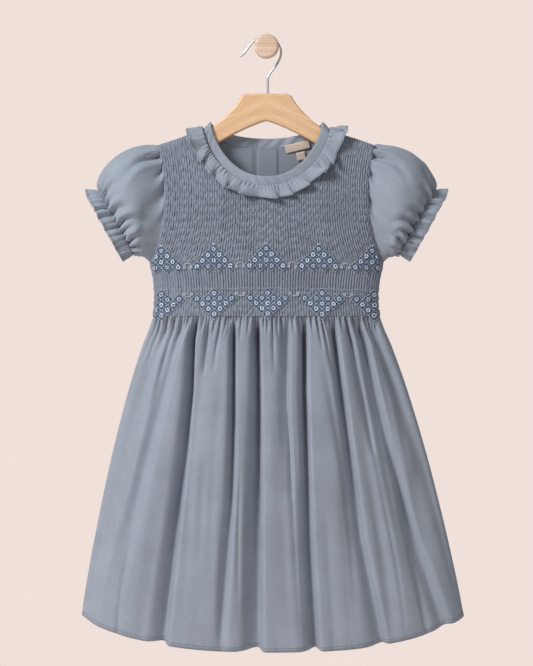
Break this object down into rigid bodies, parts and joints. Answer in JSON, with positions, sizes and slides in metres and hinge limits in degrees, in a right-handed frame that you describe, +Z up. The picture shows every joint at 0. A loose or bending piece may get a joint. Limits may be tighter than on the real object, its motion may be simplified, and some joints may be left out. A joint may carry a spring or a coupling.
{
  "type": "smocked dress on a wooden hanger",
  "caption": "Child's cotton dress with a smocked front bodice, neck ruffle, puff sleeves and gathered skirt, hung on a wooden hanger by its wire hook from a round wall knob.",
  "frame": {"origin": "centre of the wall knob's back face, where the wall holds the knob", "axes": "+Z up, the dress faces -Y, the wall is the plane y = 0 with the knob's back face looking along +Y, and +X is to the right of someone who looks at the front of the dress"},
  "size_m": [0.4392, 0.085, 0.7072],
  "materials": {
    "cotton": "matt plain-woven cotton, blue grey",
    "smocked_cotton": "matt plain-woven cotton in fine smocked pleats, blue grey",
    "label_tape": "woven satin tape, beige",
    "hanger_wood": "clear satin varnish",
    "knob_wood": "bare, fine sanded",
    "hook_wire": "bright nickel-plated wire",
    "button": "satin"
  },
  "bodies": {
    "root": {"front_bodice": "smocked_cotton", "back_bodice_left": "cotton", "back_bodice_right": "cotton", "front_skirt": "cotton", "back_skirt": "cotton", "sleeve_left": "cotton", "sleeve_right": "cotton", "neck_band": "cotton", "neck_ruffle": "cotton", "neck_label": "label_tape", "size_tab": "label_tape", "button_1": "button", "button_2": "button", "button_3": "button", "hanger": "hanger_wood", "hook": "hook_wire", "wall_knob": "knob_wood"}
  },
  "joints": []
}
